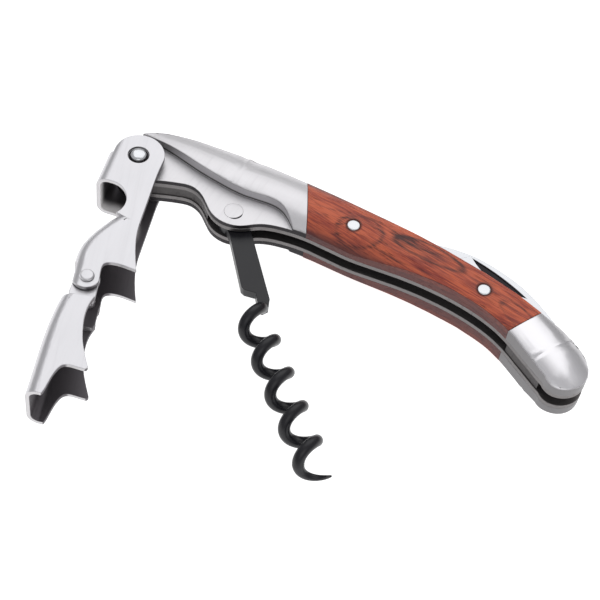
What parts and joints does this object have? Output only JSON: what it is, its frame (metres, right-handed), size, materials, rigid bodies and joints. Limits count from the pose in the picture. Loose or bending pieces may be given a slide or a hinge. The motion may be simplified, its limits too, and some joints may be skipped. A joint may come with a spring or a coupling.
{
  "type": "lever corkscrew",
  "caption": "Folding lever corkscrew: curved wood handle with steel bolsters, jointed stepped lever with cap opener, coiled worm and serrated foil blade.",
  "frame": {"origin": "middle of the overall box in X and Y, on the surface the corkscrew lies on", "axes": "+X from the lever head to the tail along the handle, +Y towards the spine, +Z through the handle's thickness, up from the table"},
  "size_m": [0.128, 0.0892, 0.0148],
  "materials": {
    "satin_steel": "satin",
    "lever_steel": "fine satin",
    "polished_steel": "polished",
    "liner_steel": "pressed, satin",
    "spring_steel": "dull",
    "pin_steel": "polished",
    "red_wood": "oiled laminated hardwood, red-brown with dark grain",
    "black_coating": "satin non-stick black coating",
    "blade_steel": "polished"
  },
  "bodies": {
    "handle": {"near_liner": "liner_steel", "far_liner": "liner_steel", "near_front_bolster": "satin_steel", "far_front_bolster": "satin_steel", "near_scale": "red_wood", "far_scale": "red_wood", "near_rear_bolster": "polished_steel", "far_rear_bolster": "polished_steel", "neck_spacer": "liner_steel", "back_spring": "spring_steel", "tail_spacer": "liner_steel", "head_pin": "pin_steel", "head_washers": "liner_steel", "worm_pin": "satin_steel", "blade_pin": "pin_steel", "neck_rivet": "pin_steel", "tail_rivet": "pin_steel", "scale_pins": "pin_steel"},
    "upper_lever": {"upper_lever": "lever_steel", "link_rivets": "lever_steel"},
    "lower_lever": {"lower_lever": "lever_steel"},
    "worm": {"worm": "black_coating"},
    "foil_blade": {"foil_blade": "blade_steel"}
  },
  "joints": [
    {"name": "lever_fold", "type": "hinge", "parent": "handle", "child": "upper_lever", "pos_m": [-0.05667, 0.0268, 0.0074], "axis": [0, 0, 1], "range_deg": [-15, 67.5]},
    {"name": "link_swing", "type": "hinge", "parent": "upper_lever", "child": "lower_lever", "pos_m": [-0.04867, -0.0112, 0.0074], "axis": [0, 0, 1], "range_deg": [-95, 0]},
    {"name": "worm_fold", "type": "hinge", "parent": "handle", "child": "worm", "pos_m": [-0.02927, 0.025, 0.0074], "axis": [0, 0, 1], "range_deg": [-10, 44.5]},
    {"name": "blade_open", "type": "hinge", "parent": "handle", "child": "foil_blade", "pos_m": [0.05483, 0.0258, 0.0074], "axis": [0, 0, 1], "range_deg": [-175, 0]}
  ],
  "couplings": [
    {"joint": "worm_fold", "follows": "lever_fold", "ratio": 0.652}
  ]
}
